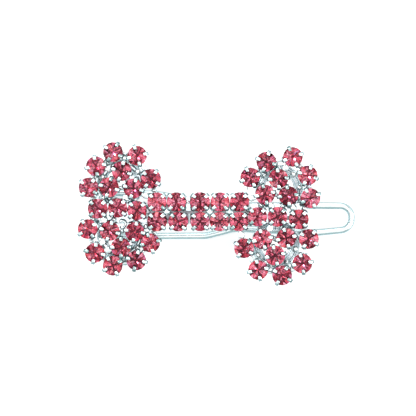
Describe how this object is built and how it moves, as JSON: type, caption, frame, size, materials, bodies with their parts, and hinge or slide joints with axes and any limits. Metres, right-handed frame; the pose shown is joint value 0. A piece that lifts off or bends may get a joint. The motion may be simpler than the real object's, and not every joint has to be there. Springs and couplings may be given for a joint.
{
  "type": "rhinestone hair clip",
  "caption": "Bone-shaped hair clip with rose crystal stones in claw cups on a hinged silver strip over a looped wire arm.",
  "frame": {"origin": "under the middle of the clip, at the level it rests on", "axes": "+X along the clip towards the finger loop, +Y across it, +Z out of the stones"},
  "size_m": [0.0447, 0.023, 0.0087],
  "materials": {
    "rose_crystal": "faceted, foil-backed, glossy",
    "silver_cups": "bright silver plate on stamped brass",
    "silver_plate": "bright silver plate, slightly uneven",
    "steel_wire": "bright plated spring wire",
    "solder": "lumpy, semi-bright"
  },
  "bodies": {
    "arm": {"wire_arm": "steel_wire"},
    "top": {"base_strip": "silver_plate", "catch": "silver_plate", "left_upper_ring": "silver_plate", "left_lower_ring": "silver_plate", "right_upper_ring": "silver_plate", "right_lower_ring": "silver_plate", "left_upper_arc_cups": "silver_cups", "left_lower_arc_cups": "silver_cups", "right_upper_arc_cups": "silver_cups", "right_lower_arc_cups": "silver_cups", "left_upper_triangle_cups": "silver_cups", "left_lower_triangle_cups": "silver_cups", "right_upper_triangle_cups": "silver_cups", "right_lower_triangle_cups": "silver_cups", "left_middle_cups": "silver_cups", "right_middle_cups": "silver_cups", "shaft_upper_cups": "silver_cups", "shaft_lower_cups": "silver_cups", "left_upper_arc_stones": "rose_crystal", "left_lower_arc_stones": "rose_crystal", "right_upper_arc_stones": "rose_crystal", "right_lower_arc_stones": "rose_crystal", "left_upper_triangle_stones": "rose_crystal", "left_lower_triangle_stones": "rose_crystal", "right_upper_triangle_stones": "rose_crystal", "right_lower_triangle_stones": "rose_crystal", "left_middle_stones": "rose_crystal", "right_middle_stones": "rose_crystal", "shaft_upper_stones": "rose_crystal", "shaft_lower_stones": "rose_crystal", "left_upper_links": "silver_plate", "left_lower_links": "silver_plate", "right_upper_links": "silver_plate", "right_lower_links": "silver_plate", "left_solder": "solder", "right_solder": "solder", "wire_curl": "silver_plate", "spacer_bar": "silver_plate", "spacer_tab": "silver_plate"}
  },
  "joints": [
    {"name": "arm_hinge", "type": "hinge", "parent": "arm", "child": "top", "pos_m": [-0.01915, 0, 0.0011], "axis": [0, -1, 0], "range_deg": [0, 60]}
  ]
}
